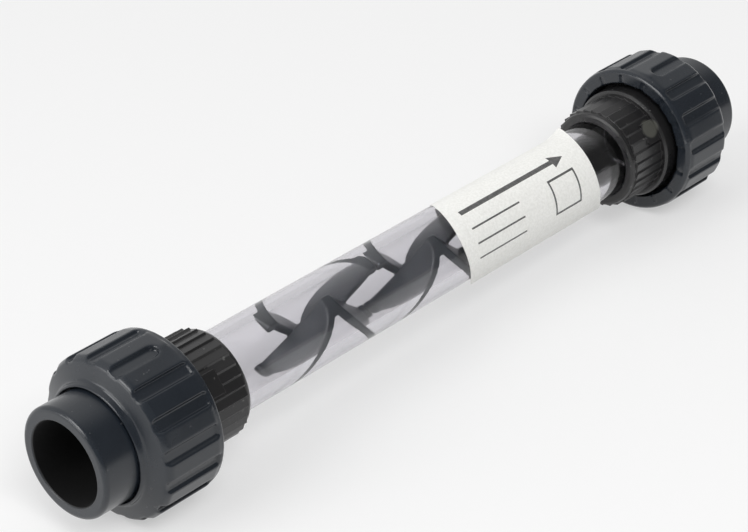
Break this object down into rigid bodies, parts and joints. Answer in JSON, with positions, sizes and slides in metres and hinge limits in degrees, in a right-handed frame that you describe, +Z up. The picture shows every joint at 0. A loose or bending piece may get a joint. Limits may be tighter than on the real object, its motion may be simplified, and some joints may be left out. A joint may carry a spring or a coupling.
{
  "type": "static mixer",
  "caption": "Inline static mixer: a clear pipe holding crossed zigzag mixing plates, with a dark grey cemented union at each end for plastic pipework.",
  "frame": {"origin": "middle of the flow axis, centre of the bounding box", "axes": "+X along the flow axis, +Z up; the part lies on one grip flat of each union nut"},
  "size_m": [0.354, 0.0616, 0.0616],
  "materials": {
    "union_plastic": "satin moulded bluish anthracite",
    "bush_plastic": "satin moulded warm dark grey",
    "clear_plastic": "clear, slightly hazy extruded pipe",
    "insert_plastic": "satin moulded bluish dark grey",
    "seal_rubber": "matt black",
    "label_sheet": "matt off-white self-adhesive sheet"
  },
  "bodies": {
    "mixer": {"clear_tube": "clear_plastic", "left_union_bush": "bush_plastic", "right_union_bush": "bush_plastic", "left_o_ring": "seal_rubber", "right_o_ring": "seal_rubber", "mixing_unit_1": "insert_plastic", "mixing_unit_2": "insert_plastic", "mixing_unit_3": "insert_plastic", "label": "label_sheet"},
    "left_end": {"left_union_end": "union_plastic"},
    "left_nut": {"left_union_nut": "union_plastic"},
    "right_end": {"right_union_end": "union_plastic"},
    "right_nut": {"right_union_nut": "union_plastic"}
  },
  "joints": [
    {"name": "left_end_slide", "type": "slide", "parent": "mixer", "child": "left_end", "axis": [-1, 0, 0], "range_m": [0, 0.00463]},
    {"name": "left_nut_turn", "type": "hinge", "parent": "left_end", "child": "left_nut", "pos_m": [-0.147, 0, 0], "axis": [-1, 0, 0], "range_deg": [0, 720]},
    {"name": "right_end_slide", "type": "slide", "parent": "mixer", "child": "right_end", "axis": [1, 0, 0], "range_m": [0, 0.00463]},
    {"name": "right_nut_turn", "type": "hinge", "parent": "right_end", "child": "right_nut", "pos_m": [0.147, 0, 0], "axis": [1, 0, 0], "range_deg": [0, 720]}
  ],
  "couplings": [
    {"joint": "left_end_slide", "follows": "left_nut_turn", "m_per_rad": 0.0003675},
    {"joint": "right_end_slide", "follows": "right_nut_turn", "m_per_rad": 0.0003675}
  ]
}
